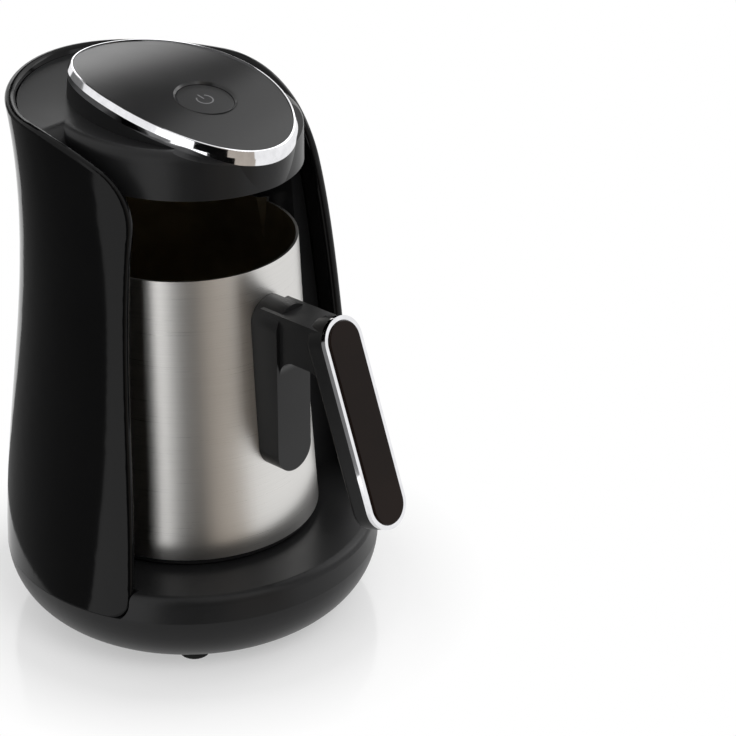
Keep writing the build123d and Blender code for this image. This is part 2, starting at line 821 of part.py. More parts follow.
with BuildPart() as indicator_lamps:
    for x in (-7.0, 7.0):
        with BuildSketch(button_level(board_top)):
            with Locations((x, -2.0)):
                Rectangle(1.6, 3.2)
        extrude(amount=1.1)

underside_top_z = head_floor_z + underside_t
with BuildPart() as sensor_window:
    with BuildSketch(level(head_floor_z)):
        Circle(window_r)
    extrude(amount=underside_t)
    with BuildSketch(level(underside_top_z)):
        Circle(window_r + 1.4)
    extrude(amount=0.8)

with BuildPart() as rise_sensor:
    with BuildSketch(level(underside_top_z + 0.8)):
        Rectangle(16, 12)
    extrude(amount=5)
    with BuildSketch(level(underside_top_z + 0.8)):
        with Locations((-3.2, 0), (3.2, 0)):
            Circle(2.2)
    extrude(amount=3, mode=Mode.SUBTRACT)

# ---------------------------------------------------------------- base coupler and power board
boss_top_z = seat_z + (boss_foot_r - boss_top_r) * tan(radians(boss_slope))
flange_top_z = top_in_z - seal_t
flange_low_z = flange_top_z - coupler_flange_t
contact_spots = [(r * sin(radians(a)), r * cos(radians(a)))
                 for r, a in zip(contact_ring_rs, (0, 70, 200))]

with BuildPart() as coupler_socket:
    with BuildSketch(side):
        with BuildLine():
            Polyline((0, boss_top_z), (boss_top_r, boss_top_z), (boss_foot_r, seat_z),
                     (boss_foot_r, flange_top_z), (coupler_flange_r, flange_top_z),
                     (coupler_flange_r, flange_low_z), (coupler_body_r, flange_low_z),
                     (coupler_body_r, seat_z - coupler_depth), (0, seat_z - coupler_depth),
                     close=True)
        make_face()
    revolve(axis=base_axis)
    for spot in contact_spots:
        with BuildSketch(level(boss_top_z, *spot)):
            Circle(contact_r + slide_fit)
        extrude(amount=-coupler_depth, mode=Mode.SUBTRACT)
    for spot in coupler_screw_spots:
        with BuildSketch(level(flange_low_z, *spot)):
            Circle(screw_hole_r)
        extrude(amount=coupler_flange_t, mode=Mode.SUBTRACT)

coupler_screws = screws_up(coupler_screw_spots, flange_low_z - screw_head_h, coupler_screw_l)

with BuildPart() as coupler_contacts:
    for spot in contact_spots:
        with BuildSketch(level(boss_top_z + boss_gap / 2, *spot)):
            Circle(contact_r)
        extrude(amount=-coupler_depth)

with BuildPart() as coupler_seal:
    with BuildSketch(level(flange_top_z)):
        Circle(boss_foot_r + 3.2)
        Circle(boss_foot_r + part_gap, mode=Mode.SUBTRACT)
    extrude(amount=seal_t)

with BuildPart() as power_board:
    with BuildSketch(level(power_board_z, 0, board_y)):
        Rectangle(power_board_w, power_board_d)
    extrude(amount=board_t)
    for spot in board_post_spots:
        with BuildSketch(level(power_board_z, *spot)):
            Circle(board_hole_r)
        extrude(amount=board_t, mode=Mode.SUBTRACT)

part_z = power_board_z + board_t
with BuildPart() as power_board_screws:
    for spot in board_post_spots:
        with BuildSketch(level(part_z, *spot)):
            Circle(board_screw_r)
        extrude(amount=-board_t - board_screw_l)
        with BuildSketch(level(part_z, *spot)):
            Circle(board_screw_head_r)
        extrude(amount=board_screw_head_h)

with BuildPart() as relay:
    with BuildSketch(level(part_z, -11.0, board_y - 3.5)):
        Rectangle(12, 18)
    extrude(amount=11)
    fillet(relay.edges().filter_by(Axis.Z), 0.8)

with BuildPart() as transformer:
    with BuildSketch(level(part_z, 3.0, board_y - 3.0)):
        Rectangle(12, 14)
    extrude(amount=9)
    with BuildSketch(level(part_z + 1.5, 3.0, board_y - 3.0)):
        Rectangle(8, 17)
    extrude(amount=6)

with BuildPart() as capacitors:
    for x, y, r, h in ((12.5, -4.0, 2.6, 9.0), (12.5, 3.5, 2.6, 9.0)):
        with BuildSketch(level(part_z, x, board_y + y)):
            Circle(r)
        extrude(amount=h)

terminal_h = 7.5
with BuildPart() as terminal_block:
    with BuildSketch(level(part_z, 0, board_y + 9.5)):
        Rectangle(16, 6.5)
    extrude(amount=terminal_h)
    with BuildSketch(level(part_z + terminal_h, 0, board_y + 9.5)):
        with Locations((-5.0, 0), (5.0, 0)):
            Circle(1.5)
    extrude(amount=-3, mode=Mode.SUBTRACT)

with BuildPart() as cord_gland:
    with BuildSketch(gland_plane):
        Circle(gland_r)
    extrude(amount=-gland_len)
    with BuildSketch(gland_plane):
        Circle(gland_flange_r)
    extrude(amount=gland_flange_t)
    with BuildSketch(gland_plane.offset(gland_flange_t)):
        Circle(gland_bore_r)
    extrude(amount=-(gland_len + gland_flange_t), mode=Mode.SUBTRACT)

# ---------------------------------------------------------------- harness
harness_pts = [(board_y + 9.5, part_z + terminal_h + 0.1), (board_y + 9.5, 27.0), (harness_y, 33.4),
               (harness_y, 50.0), (harness_top_y, 176.0), (harness_top_y, 199.0), (22.0, 199.5)]
with BuildPart() as harness:
    with BuildLine() as run:
        FilletPolyline(*[(0, axis_y + y, z) for y, z in harness_pts],
                       radius=(5.0, 5.0, 60.0, 60.0, 9.0))
    with BuildSketch(Plane(origin=run.line @ 0, z_dir=run.line % 0)):
        Circle(harness_r)
    sweep(path=run.line)

# ---------------------------------------------------------------- jug


def circle_through(p, q, s):
    """Centre and radius of the circle through three points."""
    a, b = q[0] - p[0], q[1] - p[1]
    c, d = s[0] - p[0], s[1] - p[1]
    e, f = (a * a + b * b) / 2, (c * c + d * d) / 2
    det = a * d - b * c
    x, y = (e * d - b * f) / det, (a * f - e * c) / det
    return (p[0] + x, p[1] + y), hypot(x, y)


jug_arc = ((jug_foot_r, 0), (jug_mid_r, jug_h / 2), (jug_rim_r, jug_h))
jug_arc_centre, jug_arc_r = circle_through(*jug_arc)


def jug_radius(h):
    """Outer radius of the steel wall at height h above its lower edge."""
    return jug_arc_centre[0] - sqrt(jug_arc_r ** 2 - (h - jug_arc_centre[1]) ** 2)


def jug_solid(inset, grow=0.0):
    """Filled body of the jug inside the steel's outer surface."""
    with BuildPart() as block:
        with BuildSketch(side):
            with BuildLine():
                low, high = -grow, jug_h + grow
                ends = [(jug_radius(h) - inset, jug_steel_z + h) for h in (low, jug_h / 2, high)]
                ThreePointArc(*ends)
                Polyline(ends[2], (0, jug_steel_z + high), (0, jug_steel_z + low), ends[0])
            make_face()
        revolve(axis=base_axis)
    return block.part


def spout(turn, inset):
    """Three-sided pressed spout: a prism that leans out towards the rim."""
    low_h = jug_h - spout_h
    above = 0.5 if inset else 0.0
    lean_in = (jug_rim_r + spout_reach - jug_radius(low_h)) / spout_h
    tip = jug_rim_r + spout_reach + above * lean_in - inset * 1.3
    root = jug_rim_r - 2 * spout_reach
    half = spout_half_w - inset * 0.5
    down = Vector(-lean_in * sin(radians(turn)), -lean_in * cos(radians(turn)), -1)
    with BuildPart() as block:
        with BuildSketch(radial_plane(0, turn, jug_rim_z + above)):
            with BuildLine():
                Polyline((tip, 0), (root, half), (root, -half), close=True)
            make_face()
        extrude(amount=(spout_h + above) * down.length, dir=down)
    return block.part


jug_outside = jug_solid(0)
jug_inside = jug_solid(jug_wall, 0.5)
jug_clear = jug_solid(-part_gap)
spouts_outside = [spout(turn, 0) for turn in (90, -90)]
spouts_inside = [spout(turn, jug_wall) for turn in (90, -90)]

with BuildPart() as jug_body:
    add(jug_outside)
    add(spouts_outside)
    add(jug_inside, mode=Mode.SUBTRACT)
    add(spouts_inside, mode=Mode.SUBTRACT)

floor_z = jug_steel_z + floor_h
jug_screw_spots = polar_spots(jug_screw_circle_r, (60, 180, 300))
cover_top_z = jug_steel_z + cover_t
jug_floor_r = jug_radius(floor_h + floor_t) - jug_wall - slide_fit

with BuildPart() as jug_floor:
    with BuildSketch(level(floor_z)):
        Circle(jug_floor_r)
    extrude(amount=floor_t)
    for spot in jug_screw_spots:
        with BuildSketch(level(cover_top_z + part_gap, *spot)):
            Circle(screw_hole_r + 1.6)
        extrude(amount=floor_z - cover_top_z - part_gap)
        with BuildSketch(level(cover_top_z + part_gap, *spot)):
            Circle(screw_hole_r)
        extrude(amount=9, mode=Mode.SUBTRACT)

with BuildPart() as heat_plate:
    with BuildSketch(level(floor_z)):
        Circle(diffuser_r)
    extrude(amount=-diffuser_t)

element_z = floor_z - diffuser_t - element_tube_r
element_open = 20.0      # half of the open part of the ring, degrees
element_plane = Plane(origin=(0, axis_y, 0), z_dir=(cos(radians(element_open)),
                                                    -sin(radians(element_open)), 0),
                      x_dir=(sin(radians(element_open)), cos(radians(element_open)), 0))
with BuildPart() as heating_element:
    with BuildSketch(element_plane):
        with Locations((element_r, element_z)):
            Circle(element_tube_r)
    revolve(axis=base_axis, revolution_arc=-(360 - 2 * element_open))

with BuildPart() as thermostat:
    with BuildSketch(level(floor_z - diffuser_t)):
        Circle(8.0)
    extrude(amount=-4.6)
    with BuildSketch(level(floor_z - diffuser_t - 4.6)):
        with Locations((-4.5, 0), (4.5, 0)):
            Rectangle(0.8, 4.5)
    extrude(amount=-2.6)

roof_z = boss_top_z + boss_gap
coupler_top_z = roof_z + jug_coupler_roof_t
coupler_lip_r = jug_coupler_r + jug_coupler_lip
jug_cover_hole_r = jug_coupler_r + part_gap
with BuildPart() as jug_coupler:
    with BuildSketch(side):
        with BuildLine():
            slope_foot_r = boss_top_r + (roof_z - jug_low_z) / tan(radians(boss_slope))
            Polyline((0, roof_z), (boss_top_r, roof_z), (slope_foot_r, jug_low_z),
                     (jug_coupler_r, jug_low_z), (jug_coupler_r, cover_top_z + part_gap),
                     (coupler_lip_r, cover_top_z + part_gap),
                     (coupler_lip_r, cover_top_z + cover_t), (jug_coupler_r, cover_top_z + cover_t),
                     (jug_coupler_r - 1, coupler_top_z), (0, coupler_top_z), close=True)
        make_face()
    revolve(axis=base_axis)
    for r in contact_ring_rs:
        with BuildSketch(level(roof_z)):
            Circle(r + ring_half_w + slide_fit)
            if r:
                Circle(r - ring_half_w - slide_fit, mode=Mode.SUBTRACT)
        extrude(amount=1.0 + slide_fit, mode=Mode.SUBTRACT)

with BuildPart() as contact_rings:
    for r in contact_ring_rs:
        with BuildSketch(level(roof_z)):
            Circle(r + ring_half_w)
            if r:
                Circle(r - ring_half_w, mode=Mode.SUBTRACT)
        extrude(amount=1.0)

with BuildPart() as element_leads:
    for spot in polar_spots(element_r, (element_open + 4, -element_open - 4)):
        with BuildSketch(level(coupler_top_z, *spot)):
            Circle(1.1)
        extrude(amount=element_z - element_tube_r - coupler_top_z)

spigot_r = jug_foot_r - jug_wall - 0.5
with BuildPart() as jug_base_cover:
    with BuildSketch(side):
        with BuildLine():
            spigot_top_r = spigot_r - 0.5
            Polyline((jug_cover_hole_r, cover_top_z), (jug_cover_hole_r, jug_steel_z),
                     (jug_ring_r - cover_ring_w, jug_steel_z),
                     (jug_ring_r - cover_ring_w, jug_low_z),
                     (jug_ring_r - cover_chamfer, jug_low_z),
                     (jug_ring_r, jug_low_z + cover_chamfer),
                     (jug_ring_r, jug_steel_z), (spigot_r, jug_steel_z),
                     (spigot_top_r, cover_top_z + spigot_h),
                     (spigot_top_r - spigot_t, cover_top_z + spigot_h),
                     (spigot_top_r - spigot_t, cover_top_z), close=True)
        make_face()
    revolve(axis=base_axis)
    for spot in jug_screw_spots:
        with BuildSketch(level(jug_steel_z, *spot)):
            Circle(screw_hole_r)
        extrude(amount=cover_top_z - jug_steel_z, mode=Mode.SUBTRACT)

jug_base_screws = screws_up(jug_screw_spots, jug_steel_z - screw_head_h, jug_screw_l)

# ---------------------------------------------------------------- handle
face_plane = Plane(origin=(0, axis_y - face_mid_out, jug_steel_z + face_mid_h), x_dir=(1, 0, 0),
                   z_dir=(0, -cos(lean), sin(lean)))
insert_len = face_len - 2 * trim_w
insert_w = handle_w - 2 * trim_w
insert_low = insert_proud - insert_t


def stadium(plane, length, width):
    """Long round-ended outline standing upright on a plane."""
    with BuildSketch(plane) as outline:
        SlotOverall(length, width, rotation=90)
    return outline.sketch


def grip_inside_out(h):
    """Distance from the jug's axis to the grip's inner face at height h."""
    return face_mid_out - (h - face_mid_h) * tan(lean) - grip_t / cos(lean)


pad_mid_h = (pad_low_h + pad_top_h) / 2
pad_plane = Plane(origin=(0, axis_y - pad_out, jug_steel_z + pad_mid_h), x_dir=(1, 0, 0),
                  z_dir=(0, -1, 0))
finger_gap = grip_inside_out(bridge_low_h) - pad_out
bridge_corner_r = min(bridge_round, 0.4 * finger_gap)
web_low_h = bridge_low_h - 2 * bridge_round
tab_z = jug_steel_z + bracket_tab_h
bracket_tab_out = grip_inside_out(bracket_tab_h) + tab_in_grip
handle_screw_outs = (pad_out + 6.4, bracket_tab_out - 5.0)


# steel wall behind the bracket, as a cone that touches it
cone_low, cone_high = bracket_low_h - 2, bracket_top_h + 2
with BuildPart() as weld_cone:
    with BuildSketch(side):
        with BuildLine():
            Polyline((0, jug_steel_z + cone_low), (jug_radius(cone_low) + 0.01, jug_steel_z + cone_low),
                     (jug_radius(cone_high) + 0.01, jug_steel_z + cone_high),
                     (0, jug_steel_z + cone_high), close=True)
        make_face()
    revolve(axis=base_axis)


def bracket_solid(grow):
    """Bracket welded to the jug: an upright plate and a level tab."""
    low, high = jug_steel_z + bracket_low_h - grow, jug_steel_z + bracket_top_h + grow
    back = -jug_radius(bracket_low_h) - 1.0
    with BuildPart() as block:
        with BuildSketch(side):
            with BuildLine():
                Polyline((-30, low), (back - bracket_t - grow, low),
                         (back - bracket_t - grow, tab_z - grow),
                         (-bracket_tab_out - grow, tab_z - grow),
                         (-bracket_tab_out - grow, tab_z + bracket_t + grow),
                         (back - bracket_t - grow, tab_z + bracket_t + grow),
                         (back - bracket_t - grow, high), (-30, high), close=True)
            make_face()
        extrude(amount=bracket_w / 2 + grow, both=True)
        add(weld_cone.part, mode=Mode.SUBTRACT)
    return block.part


bracket = bracket_solid(0)
bracket_room = bracket_solid(part_gap)
grip_outline = stadium(face_plane.offset(-trim_t), face_len, handle_w)
trim_hole = stadium(face_plane.offset(-trim_t), insert_len + 2 * part_gap, insert_w + 2 * part_gap)
insert_room = stadium(face_plane.offset(insert_low - part_gap), insert_len, insert_w)
insert_outline = stadium(face_plane.offset(insert_low), insert_len, insert_w)
pad_outline = stadium(pad_plane, pad_top_h - pad_low_h, pad_w)
out_of_face = Axis(face_plane.origin, face_plane.z_dir)

with BuildPart() as handle_bracket:
    add(bracket)
    for out in handle_screw_outs:
        with BuildSketch(level(tab_z, 0, -out)):
            Circle(screw_hole_r)
        extrude(amount=bracket_t, mode=Mode.SUBTRACT)

with BuildPart() as handle_body:
    # grip
    extrude(grip_outline, amount=-(grip_t - trim_t))
    fillet(handle_body.faces().sort_by(out_of_face)[0].edges(), 2.0)
    # pad
    extrude(pad_outline, amount=-(pad_out - 35))
    # bridge with rounded inner corners
    with BuildSketch(side) as bridge_profile:
        with BuildLine():
            top_out = grip_inside_out(bridge_top_h) + grip_t * 0.6
            Polyline((-48, jug_steel_z + bridge_top_h), (-top_out, jug_steel_z + bridge_top_h),
                     (-grip_inside_out(web_low_h) - 2, jug_steel_z + web_low_h),
                     (-grip_inside_out(web_low_h), jug_steel_z + web_low_h),
                     (-grip_inside_out(bridge_low_h), jug_steel_z + bridge_low_h),
                     (-pad_out, jug_steel_z + bridge_low_h),
                     (-pad_out, jug_steel_z + web_low_h), (-48, jug_steel_z + web_low_h),
                     close=True)
        make_face()
        inner = bridge_profile.vertices().filter_by(
            lambda v: abs(v.Y - jug_steel_z - bridge_low_h) < 0.01)
        fillet(inner, bridge_corner_r)
    extrude(amount=bridge_w / 2, both=True)
    add(jug_clear, mode=Mode.SUBTRACT)
    add(bracket_room, mode=Mode.SUBTRACT)
    for out in handle_screw_outs:
        with BuildSketch(level(jug_steel_z + bridge_low_h, 0, -out)):
            Circle(screw_head_r + part_gap)
        extrude(amount=screw_head_h + 0.4, mode=Mode.SUBTRACT)
        with BuildSketch(level(jug_steel_z + bridge_low_h, 0, -out)):
            Circle(screw_hole_r)
        extrude(amount=bracket_tab_h - bridge_low_h + 5.2, mode=Mode.SUBTRACT)
    extrude(insert_room, amount=trim_t, mode=Mode.SUBTRACT)

with BuildPart() as handle_trim:
    extrude(grip_outline, amount=trim_t)
    extrude(trim_hole, amount=trim_t, mode=Mode.SUBTRACT)

with BuildPart() as handle_insert:
    extrude(insert_outline, amount=insert_t)
    fillet(handle_insert.faces().sort_by(out_of_face)[-1].edges(), 0.6)

handle_screws = screws_up([(0, -out) for out in handle_screw_outs],
                          jug_steel_z + bridge_low_h + 0.4,
                          bracket_tab_h - bridge_low_h + 2.6)

# ---------------------------------------------------------------- files
pieces = {
    "base_pan": base_pan, "base_feet": base_feet, "base_top": base_top,
    "base_screws": base_screws, "jacket": jacket, "jacket_screws": jacket_screws,
    "column_liner": column_liner, "column_screws": column_screws,
    "coupler_socket": coupler_socket, "coupler_contacts": coupler_contacts,
    "coupler_screws": coupler_screws, "mount_screws": mount_screws,
    "coupler_seal": coupler_seal, "power_board": power_board,
    "power_board_screws": power_board_screws, "relay": relay, "transformer": transformer,
    "capacitors": capacitors, "terminal_block": terminal_block, "cord_gland": cord_gland,
    "harness": harness, "head_housing": head_housing, "head_underside": head_underside,
    "head_screws": head_screws, "chrome_ring": chrome_ring, "head_plate": head_plate,
    "button_bezel": button_bezel, "power_button": power_button,
    "switch_plunger": switch_plunger, "switch_body": switch_body,
    "button_spring": button_spring, "control_board": control_board,
    "board_screws": board_screws, "buzzer": buzzer, "indicator_lamps": indicator_lamps,
    "sensor_window": sensor_window, "rise_sensor": rise_sensor, "jug_body": jug_body,
    "jug_floor": jug_floor, "heat_plate": heat_plate, "heating_element": heating_element,
    "thermostat": thermostat, "jug_coupler": jug_coupler, "contact_rings": contact_rings,
    "element_leads": element_leads, "jug_base_cover": jug_base_cover,
    "jug_base_screws": jug_base_screws, "handle_bracket": handle_bracket,
    "handle_body": handle_body, "handle_trim": handle_trim, "handle_insert": handle_insert,
    "handle_screws": handle_screws,
}
for label, piece in pieces.items():
    write(piece, label)
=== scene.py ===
import json
import math

import bmesh
import bpy
from mathutils import Matrix, Vector


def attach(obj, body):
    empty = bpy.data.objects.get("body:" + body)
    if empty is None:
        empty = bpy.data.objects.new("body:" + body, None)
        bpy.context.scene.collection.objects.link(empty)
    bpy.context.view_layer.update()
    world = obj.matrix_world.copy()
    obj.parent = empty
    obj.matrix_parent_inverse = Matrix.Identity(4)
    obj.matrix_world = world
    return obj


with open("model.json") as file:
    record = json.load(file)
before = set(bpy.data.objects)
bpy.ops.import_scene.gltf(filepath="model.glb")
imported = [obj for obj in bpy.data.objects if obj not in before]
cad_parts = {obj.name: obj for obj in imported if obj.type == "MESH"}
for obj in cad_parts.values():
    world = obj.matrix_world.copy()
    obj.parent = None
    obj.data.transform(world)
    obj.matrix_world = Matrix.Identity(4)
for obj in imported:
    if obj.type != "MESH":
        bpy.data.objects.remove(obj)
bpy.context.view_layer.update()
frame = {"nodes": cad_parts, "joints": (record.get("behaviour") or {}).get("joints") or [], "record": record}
nodes = frame["nodes"]
scene = bpy.context.scene

MM = 0.001
AXIS_Y = 0.016744          # base axis in the frame

# ---------------------------------------------------------------- camera
CAM_AZ, CAM_EL = math.radians(-48.13), math.radians(27.28)
CAM_DIST = 1.100
CAM_TARGET = Vector((0.10633, AXIS_Y, 0.05708))
CAM_FOCAL_PX = 2562.9      # at a picture of 736 pixels
SENSOR = 36.0


def placed(x_axis, y_axis, z_axis, origin):
    """Matrix with these columns."""
    columns = zip(x_axis, y_axis, z_axis, origin)
    return Matrix((*columns, (0, 0, 0, 1)))


def make_camera():
    back = Vector((math.sin(CAM_AZ) * math.cos(CAM_EL), -math.cos(CAM_AZ) * math.cos(CAM_EL),
                   math.sin(CAM_EL)))
    right = Vector((0, 0, 1)).cross(back).normalized()
    up = back.cross(right)
    place = CAM_TARGET + back * CAM_DIST
    data = bpy.data.cameras.new("camera")
    data.lens = CAM_FOCAL_PX * SENSOR / 736.0
    data.sensor_width = SENSOR
    cam = bpy.data.objects.new("camera", data)
    scene.collection.objects.link(cam)
    cam.matrix_world = placed(right, up, back, place)
    scene.camera = cam


make_camera()

# ---------------------------------------------------------------- node helpers


def new_material(name):
    mat = bpy.data.materials.new(name)
    mat.use_nodes = True
    tree = mat.node_tree
    shader = next(n for n in tree.nodes if n.type == "BSDF_PRINCIPLED")
    return mat, tree, shader


def object_coords(tree, move=(0, 0, 0)):
    """Object coordinates, moved."""
    coord = tree.nodes.new("ShaderNodeTexCoord")
    mapping = tree.nodes.new("ShaderNodeMapping")
    mapping.inputs["Location"].default_value = move
    tree.links.new(coord.outputs["Object"], mapping.inputs["Vector"])
    return mapping.outputs["Vector"]


def noise(tree, vector, scale, detail=3.0, rough=0.5):
    node = tree.nodes.new("ShaderNodeTexNoise")
    node.inputs["Scale"].default_value = scale
    node.inputs["Detail"].default_value = detail
    node.inputs["Roughness"].default_value = rough
    tree.links.new(vector, node.inputs["Vector"])
    return node.outputs["Fac"]


def remap(tree, value, low, high, from_low=0.3, from_high=0.7):
    node = tree.nodes.new("ShaderNodeMapRange")
    node.inputs["From Min"].default_value = from_low
    node.inputs["From Max"].default_value = from_high
    node.inputs["To Min"].default_value = low
    node.inputs["To Max"].default_value = high
    tree.links.new(value, node.inputs["Value"])
    return node.outputs["Result"]


def ramp(tree, value, stops):
    node = tree.nodes.new("ShaderNodeValToRGB")
    elements = node.color_ramp.elements
    while len(elements) < len(stops):
        elements.new(0.5)
    for element, (pos, colour) in zip(elements, stops):
        element.position = pos
        element.color = (*colour, 1)
    tree.links.new(value, node.inputs["Fac"])
    return node.outputs["Color"]


def math_node(tree, kind, *values):
    node = tree.nodes.new("ShaderNodeMath")
    node.operation = kind
    for socket, value in zip(node.inputs, values):
        if isinstance(value, (int, float)):
            socket.default_value = value
        else:
            tree.links.new(value, socket)
    return node.outputs["Value"]


def bump(tree, shader, height, strength, distance):
    node = tree.nodes.new("ShaderNodeBump")
    node.inputs["Strength"].default_value = strength
    node.inputs["Distance"].default_value = distance
    tree.links.new(height, node.inputs["Height"])
    tree.links.new(node.outputs["Normal"], shader.inputs["Normal"])


def shade(colour, factor):
    return tuple(min(1.0, c * factor) for c in colour)


# ---------------------------------------------------------------- materials


def varied(tree, value, colour, vary):
    """The colour, a little darker and lighter with value."""
    return ramp(tree, value, [(0.35, shade(colour, 1 - vary)), (0.65, shade(colour, 1 + vary))])


COAT_ROUGH = 0.1
HANDLING = 22.0            # scale of the handling marks


def plastic(name, colour, rough, spread=0.05, grain=900.0, depth=0.00002, strength=0.3,
            specular=0.5, coat=0.0, vary=0.12):
    """Moulded plastic: fine grain in the bump, faint handling marks in the roughness."""
    mat, tree, shader = new_material(name)
    vector = object_coords(tree)
    fine = noise(tree, vector, grain, 2.0)
    broad = noise(tree, vector, HANDLING, 4.0, 0.6)
    tree.links.new(remap(tree, broad, rough - spread, rough + spread), shader.inputs["Roughness"])
    tree.links.new(varied(tree, broad, colour, vary), shader.inputs["Base Color"])
    shader.inputs["Specular IOR Level"].default_value = specular
    shader.inputs["Coat Weight"].default_value = coat
    shader.inputs["Coat Roughness"].default_value = COAT_ROUGH
    bump(tree, shader, fine, strength, depth)
    return mat


def metal(name, colour, rough, spread=0.04, grain=600.0, strength=0.15, depth=0.00001, vary=0.05):
    """Plain metal with a fine cast or plated grain."""
    mat, tree, shader = new_material(name)
    vector = object_coords(tree)
    fine = noise(tree, vector, grain, 3.0)
    shader.inputs["Metallic"].default_value = 1.0
    tree.links.new(remap(tree, fine, rough - spread, rough + spread), shader.inputs["Roughness"])
    tree.links.new(varied(tree, fine, colour, vary), shader.inputs["Base Color"])
    bump(tree, shader, fine, strength, depth)
    return mat


BRUSH_TURN = 0.9           # brush marks per radian round the jug, so they run long
BRUSH_RISE = 5200.0        # and per metre up its side, so they lie close
BRUSH_DEPTH = 40.0


def brush_lines(tree, around):
    """Marks that run round the base axis; around is measured from it."""
    split = tree.nodes.new("ShaderNodeSeparateXYZ")
    tree.links.new(around, split.inputs["Vector"])
    x, y, z = (split.outputs[i] for i in "XYZ")
    angle = math_node(tree, "ARCTAN2", y, x)
    squares = math_node(tree, "ADD", math_node(tree, "MULTIPLY", x, x),
                        math_node(tree, "MULTIPLY", y, y))
    radius = math_node(tree, "SQRT", squares)
    join = tree.nodes.new("ShaderNodeCombineXYZ")
    tree.links.new(math_node(tree, "MULTIPLY", angle, BRUSH_TURN), join.inputs["X"])
    tree.links.new(math_node(tree, "MULTIPLY", z, BRUSH_RISE), join.inputs["Y"])
    tree.links.new(math_node(tree, "MULTIPLY", radius, BRUSH_DEPTH), join.inputs["Z"])
    return noise(tree, join.outputs["Vector"], 1.0, 4.0, 0.65)


def faces_axis(tree, around):
    """1 where the surface faces the base axis, as the jug's inner wall does."""
    geo = tree.nodes.new("ShaderNodeNewGeometry")
    flat = tree.nodes.new("ShaderNodeVectorMath")
    flat.operation = "MULTIPLY"
    flat.inputs[1].default_value = (1, 1, 0)
    tree.links.new(around, flat.inputs[0])
    facing = tree.nodes.new("ShaderNodeVectorMath")
    facing.operation = "DOT_PRODUCT"
    tree.links.new(flat.outputs["Vector"], facing.inputs[0])
    tree.links.new(geo.outputs["Normal"], facing.inputs[1])
    return math_node(tree, "LESS_THAN", facing.outputs["Value"], -0.01)


def brushed_steel(name, colour, inner_shade_colour):
    """Steel brushed round the jug's axis; the inner wall is painted darker, as shade, and browner."""
    mat, tree, shader = new_material(name)
    around = object_coords(tree, move=(0, -AXIS_Y, 0))
    lines = brush_lines(tree, around)
    cloud = noise(tree, object_coords(tree), 28.0, 3.0, 0.6)
    shader.inputs["Metallic"].default_value = 1.0
    inside = faces_axis(tree, around)
    rough = math_node(tree, "ADD", remap(tree, lines, 0.27, 0.33),
                      math_node(tree, "MULTIPLY", inside, 0.12))
    tree.links.new(rough, shader.inputs["Roughness"])
    outer = ramp(tree, lines, [(0.3, shade(colour, 0.93)), (0.7, shade(colour, 1.05))])
    # the inner wall's colour is painted shade: darker and browner than the outer steel
    inner = ramp(tree, cloud, [(0.35, shade(inner_shade_colour, 0.75)), (0.65, shade(inner_shade_colour, 1.2))])
    mix = tree.nodes.new("ShaderNodeMix")
    mix.data_type = "RGBA"
    tree.links.new(inside, mix.inputs["Factor"])
    tree.links.new(outer, mix.inputs["A"])
    tree.links.new(inner, mix.inputs["B"])
    tree.links.new(mix.outputs["Result"], shader.inputs["Base Color"])
    shader.inputs["Anisotropic"].default_value = 0.75
    tangent = tree.nodes.new("ShaderNodeTangent")
    tangent.direction_type = "RADIAL"
    tangent.axis = "Z"
    tree.links.new(tangent.outputs["Tangent"], shader.inputs["Tangent"])
    bump(tree, shader, lines, 0.1, 0.000002)
    return mat


def make_materials():
    return {
        "jacket_black": plastic("jacket_black", (0.0025, 0.0025, 0.0026), 0.1, 0.01, 1500,
                                0.000001, 0.08, specular=0.14),
        "body_black": plastic("body_black", (0.0105, 0.0105, 0.0109), 0.34, 0.04, 1700, 0.00001,
                              0.35, specular=0.2),
        "plate_black": plastic("plate_black", (0.0045, 0.0045, 0.0048), 0.24, 0.02, 1800, 0.000003,
                               0.15, specular=0.42),
        "button_black": plastic("button_black", (0.008, 0.008, 0.0085), 0.3, 0.03, 1800, 0.000004,
                                0.2, specular=0.4),
        "handle_black": plastic("handle_black", (0.005, 0.005, 0.0053), 0.38, 0.05, 1500, 0.00001,
                                0.3, specular=0.3),
        "insert_brown": plastic("insert_brown", (0.0075, 0.0036, 0.0022), 0.1, 0.02, 400, 0.000001,
                                0.1, specular=0.12, vary=0.2),
        "foot_rubber": plastic("foot_rubber", (0.009, 0.009, 0.009), 0.75, 0.05, 900, 0.00003,
                               specular=0.3),
        "board_green": plastic("board_green", (0.012, 0.12, 0.05), 0.4, 0.05, 300, 0.00002),
        "component_black": plastic("component_black", (0.015, 0.015, 0.016), 0.5, 0.05),
        "relay_blue": plastic("relay_blue", (0.03, 0.12, 0.38), 0.4, 0.05),
        "coil_yellow": plastic("coil_yellow", (0.55, 0.4, 0.06), 0.45, 0.05),
        "terminal_grey": plastic("terminal_grey", (0.3, 0.31, 0.32), 0.5, 0.05),
        "thermostat_cream": plastic("thermostat_cream", (0.65, 0.6, 0.5), 0.55, 0.05),
        "harness_grey": plastic("harness_grey", (0.05, 0.05, 0.052), 0.5, 0.05),
        "lamp_white": plastic("lamp_white", (0.8, 0.8, 0.76), 0.3, 0.05),
        "window_dark": plastic("window_dark", (0.03, 0.004, 0.008), 0.08, 0.02, coat=0.5),
        "bright_trim": metal("bright_trim", (0.82, 0.82, 0.84), 0.07, 0.02, 300, 0.05),
        # the second colour is the jug's inner wall, painted darker and browner as shade
        "steel": brushed_steel("steel", (0.72, 0.71, 0.69), (0.36, 0.31, 0.22)),
        "screw_steel": metal("screw_steel", (0.5, 0.5, 0.52), 0.35, 0.06, 900),
        "spring_steel": metal("spring_steel", (0.55, 0.55, 0.57), 0.3, 0.05, 900),
        "heat_aluminium": metal("heat_aluminium", (0.75, 0.75, 0.77), 0.4, 0.06, 700),
        "contact_brass": metal("contact_brass", (0.75, 0.55, 0.25), 0.28, 0.05, 700),
        "mark_grey": plastic("mark_grey", (0.16, 0.16, 0.165), 0.45, 0.03, specular=0.3),
    }


